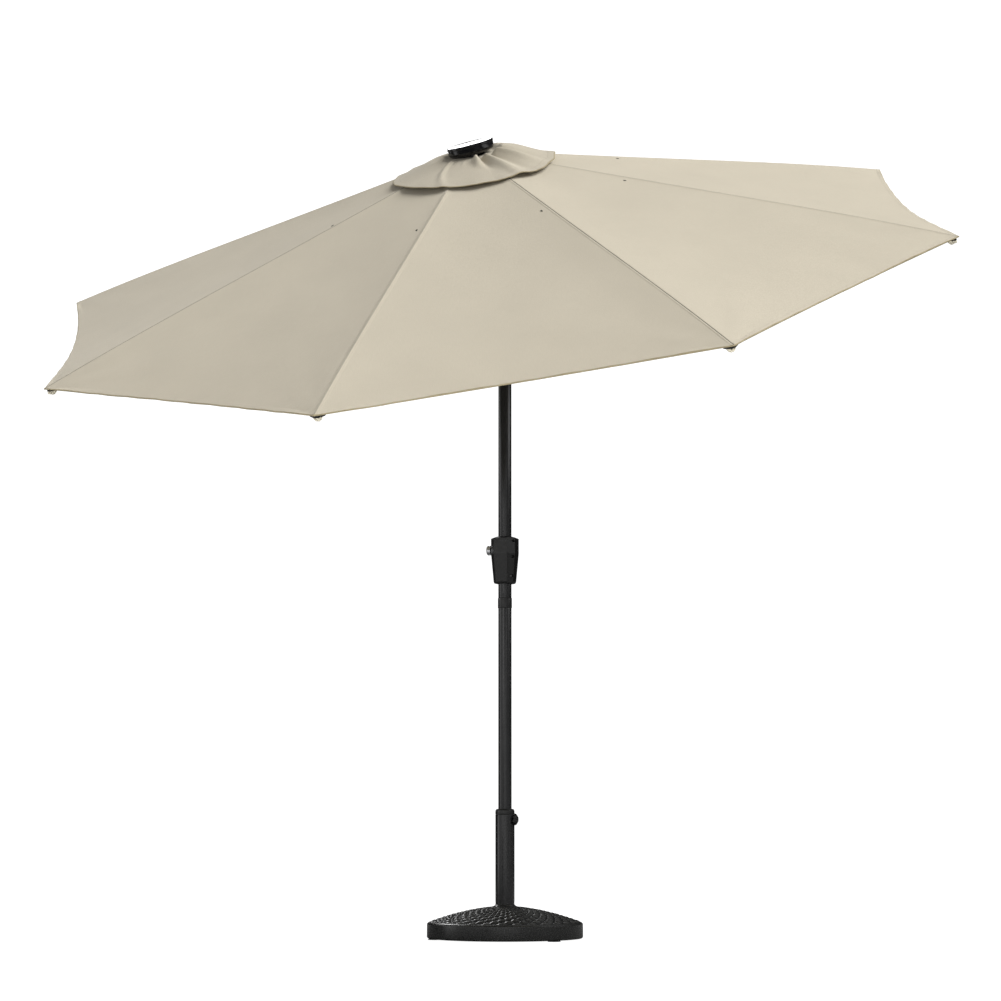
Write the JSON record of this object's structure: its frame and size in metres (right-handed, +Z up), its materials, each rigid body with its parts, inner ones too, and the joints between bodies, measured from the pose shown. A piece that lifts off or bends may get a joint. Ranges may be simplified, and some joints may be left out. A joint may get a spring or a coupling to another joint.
{
  "type": "patio umbrella with base",
  "caption": "Tilting patio umbrella on a round cast base: fabric canopy with vent cap and solar light on folding ribs, two-part pole, crank housing and clamp knob.",
  "frame": {"origin": "on the floor, at the centre of the base's underside, on the pole's axis", "axes": "+Z up the pole; the canopy leans towards -Y; the clamp knob points along +X and the crank hub along -X"},
  "size_m": [2.7, 2.4288, 2.4888],
  "materials": {
    "canopy_cloth": "matte",
    "pole_paint": "satin",
    "rib_paint": "satin",
    "plastic": "satin",
    "base_shell": "satin",
    "rubber": "matte",
    "chrome": "polished",
    "hardware": "satin",
    "light_shell": "gloss",
    "solar_cell": "gloss"
  },
  "bodies": {
    "base": {"base_body": "base_shell", "base_bolt": "hardware", "base_sleeve": "pole_paint", "sleeve_collar": "plastic", "bolt_cover": "rubber", "foot_1": "rubber", "foot_2": "rubber", "foot_3": "rubber"},
    "clamp": {"clamp_knob": "plastic", "clamp_stud": "hardware"},
    "pole": {"lower_pole": "pole_paint", "pole_coupler": "plastic", "upper_pole": "pole_paint", "housing_body": "plastic", "housing_cover": "plastic", "housing_screw_1": "hardware", "housing_screw_2": "hardware", "housing_screw_3": "hardware", "tilt_socket": "plastic", "tilt_pin": "hardware", "button_spring": "hardware"},
    "crank": {"crank_arm": "chrome", "winding_drum": "hardware"},
    "grip": {"crank_grip": "plastic"},
    "tilt_button": {"tilt_button": "plastic"},
    "mast": {"tilt_knuckle": "plastic", "mast_tube": "pole_paint", "top_hub": "plastic", "hub_wire": "hardware", "finial_stud": "hardware", "solar_housing": "light_shell", "solar_panel": "solar_cell", "vent_cap": "canopy_cloth"},
    "pulley": {"cord_pulley": "hardware"},
    "runner": {"runner": "plastic", "runner_wire": "hardware"},
    "rib_1": {"rib_1": "rib_paint", "canopy_gore_1": "canopy_cloth"},
    "strut_1": {"strut_1": "rib_paint"},
    "rib_2": {"rib_2": "rib_paint", "canopy_gore_2": "canopy_cloth"},
    "strut_2": {"strut_2": "rib_paint"},
    "rib_3": {"rib_3": "rib_paint", "canopy_gore_3": "canopy_cloth"},
    "strut_3": {"strut_3": "rib_paint"},
    "rib_4": {"rib_4": "rib_paint", "canopy_gore_4": "canopy_cloth"},
    "strut_4": {"strut_4": "rib_paint"},
    "rib_5": {"rib_5": "rib_paint", "canopy_gore_5": "canopy_cloth"},
    "strut_5": {"strut_5": "rib_paint"},
    "rib_6": {"rib_6": "rib_paint", "canopy_gore_6": "canopy_cloth"},
    "strut_6": {"strut_6": "rib_paint"},
    "rib_7": {"rib_7": "rib_paint", "canopy_gore_7": "canopy_cloth"},
    "strut_7": {"strut_7": "rib_paint"},
    "rib_8": {"rib_8": "rib_paint", "canopy_gore_8": "canopy_cloth"},
    "strut_8": {"strut_8": "rib_paint"}
  },
  "joints": [
    {"name": "clamp_turn", "type": "hinge", "parent": "base", "child": "clamp", "pos_m": [0.034, 0, 0.336], "axis": [1, 0, 0], "range_deg": [0, 1080]},
    {"name": "pole_turn", "type": "hinge", "parent": "base", "child": "pole", "pos_m": [0, 0, 0.3], "axis": [0, 0, 1], "continuous": true},
    {"name": "canopy_tilt", "type": "hinge", "parent": "pole", "child": "mast", "pos_m": [0, 0, 1.656], "axis": [1, 0, 0], "range_deg": [-25.91, 0]},
    {"name": "tilt_button_press", "type": "slide", "parent": "pole", "child": "tilt_button", "axis": [0, -1, 0], "range_m": [0, 0.0035], "stiffness_N_per_m": 300, "springref_m": -0.004, "deforming": ["button_spring"]},
    {"name": "crank_turn", "type": "hinge", "parent": "pole", "child": "crank", "pos_m": [-0.045, 0, 1.106], "axis": [1, 0, 0], "range_deg": [-1038, 0], "deforming": ["canopy_gore_1", "canopy_gore_2", "canopy_gore_3", "canopy_gore_4", "canopy_gore_5", "canopy_gore_6", "canopy_gore_7", "canopy_gore_8"]},
    {"name": "grip_spin", "type": "hinge", "parent": "crank", "child": "grip", "pos_m": [-0.067, 0.115, 1.106], "axis": [1, 0, 0], "continuous": true},
    {"name": "runner_slide", "type": "slide", "parent": "mast", "child": "runner", "axis": [0, -0.437, 0.8995], "range_m": [-0.146, 0]},
    {"name": "pulley_spin", "type": "hinge", "parent": "mast", "child": "pulley", "pos_m": [0, -0.2436, 2.15746], "axis": [1, 0, 0], "range_deg": [-1040, 0]},
    {"name": "rib_1_fold", "type": "hinge", "parent": "mast", "child": "rib_1", "pos_m": [0.04, -0.26452, 2.20051], "axis": [0, 0.8995, 0.437], "range_deg": [0, 7.84]},
    {"name": "strut_1_fold", "type": "hinge", "parent": "runner", "child": "strut_1", "pos_m": [0.04, -0.10705, 1.87637], "axis": [0, 0.8995, 0.437], "range_deg": [-7.09, 0]},
    {"name": "rib_2_fold", "type": "hinge", "parent": "mast", "child": "rib_2", "pos_m": [0.02828, -0.23907, 2.21286], "axis": [-0.7071, 0.636, 0.309], "range_deg": [0, 7.84]},
    {"name": "strut_2_fold", "type": "hinge", "parent": "runner", "child": "strut_2", "pos_m": [0.02828, -0.08161, 1.88873], "axis": [-0.7071, 0.636, 0.309], "range_deg": [-7.09, 0]},
    {"name": "rib_3_fold", "type": "hinge", "parent": "mast", "child": "rib_3", "pos_m": [0, -0.22854, 2.21798], "axis": [-1, 0, 0], "range_deg": [0, 7.84]},
    {"name": "strut_3_fold", "type": "hinge", "parent": "runner", "child": "strut_3", "pos_m": [0, -0.07108, 1.89385], "axis": [-1, 0, 0], "range_deg": [-7.09, 0]},
    {"name": "rib_4_fold", "type": "hinge", "parent": "mast", "child": "rib_4", "pos_m": [-0.02828, -0.23907, 2.21286], "axis": [-0.7071, -0.636, -0.309], "range_deg": [0, 7.84]},
    {"name": "strut_4_fold", "type": "hinge", "parent": "runner", "child": "strut_4", "pos_m": [-0.02828, -0.08161, 1.88873], "axis": [-0.7071, -0.636, -0.309], "range_deg": [-7.09, 0]},
    {"name": "rib_5_fold", "type": "hinge", "parent": "mast", "child": "rib_5", "pos_m": [-0.04, -0.26452, 2.20051], "axis": [0, -0.8995, -0.437], "range_deg": [0, 7.84]},
    {"name": "strut_5_fold", "type": "hinge", "parent": "runner", "child": "strut_5", "pos_m": [-0.04, -0.10705, 1.87637], "axis": [0, -0.8995, -0.437], "range_deg": [-7.09, 0]},
    {"name": "rib_6_fold", "type": "hinge", "parent": "mast", "child": "rib_6", "pos_m": [-0.02828, -0.28996, 2.18815], "axis": [0.7071, -0.636, -0.309], "range_deg": [0, 7.84]},
    {"name": "strut_6_fold", "type": "hinge", "parent": "runner", "child": "strut_6", "pos_m": [-0.02828, -0.1325, 1.86401], "axis": [0.7071, -0.636, -0.309], "range_deg": [-7.09, 0]},
    {"name": "rib_7_fold", "type": "hinge", "parent": "mast", "child": "rib_7", "pos_m": [0, -0.30049, 2.18303], "axis": [1, 0, 0], "range_deg": [0, 7.84]},
    {"name": "strut_7_fold", "type": "hinge", "parent": "runner", "child": "strut_7", "pos_m": [0, -0.14303, 1.85889], "axis": [1, 0, 0], "range_deg": [-7.09, 0]},
    {"name": "rib_8_fold", "type": "hinge", "parent": "mast", "child": "rib_8", "pos_m": [0.02828, -0.28996, 2.18815], "axis": [0.7071, 0.636, 0.309], "range_deg": [0, 7.84]},
    {"name": "strut_8_fold", "type": "hinge", "parent": "runner", "child": "strut_8", "pos_m": [0.02828, -0.1325, 1.86401], "axis": [0.7071, 0.636, 0.309], "range_deg": [-7.09, 0]}
  ],
  "couplings": [
    {"joint": "runner_slide", "follows": "crank_turn", "m_per_rad": 0.008},
    {"joint": "pulley_spin", "follows": "crank_turn", "ratio": 1},
    {"joint": "rib_1_fold", "follows": "crank_turn", "ratio": -0.0074997},
    {"joint": "strut_1_fold", "follows": "crank_turn", "ratio": 0.0067821},
    {"joint": "rib_2_fold", "follows": "crank_turn", "ratio": -0.0074997},
    {"joint": "strut_2_fold", "follows": "crank_turn", "ratio": 0.0067821},
    {"joint": "rib_3_fold", "follows": "crank_turn", "ratio": -0.0074997},
    {"joint": "strut_3_fold", "follows": "crank_turn", "ratio": 0.0067821},
    {"joint": "rib_4_fold", "follows": "crank_turn", "ratio": -0.0074997},
    {"joint": "strut_4_fold", "follows": "crank_turn", "ratio": 0.0067821},
    {"joint": "rib_5_fold", "follows": "crank_turn", "ratio": -0.0074997},
    {"joint": "strut_5_fold", "follows": "crank_turn", "ratio": 0.0067821},
    {"joint": "rib_6_fold", "follows": "crank_turn", "ratio": -0.0074997},
    {"joint": "strut_6_fold", "follows": "crank_turn", "ratio": 0.0067821},
    {"joint": "rib_7_fold", "follows": "crank_turn", "ratio": -0.0074997},
    {"joint": "strut_7_fold", "follows": "crank_turn", "ratio": 0.0067821},
    {"joint": "rib_8_fold", "follows": "crank_turn", "ratio": -0.0074997},
    {"joint": "strut_8_fold", "follows": "crank_turn", "ratio": 0.0067821}
  ]
}
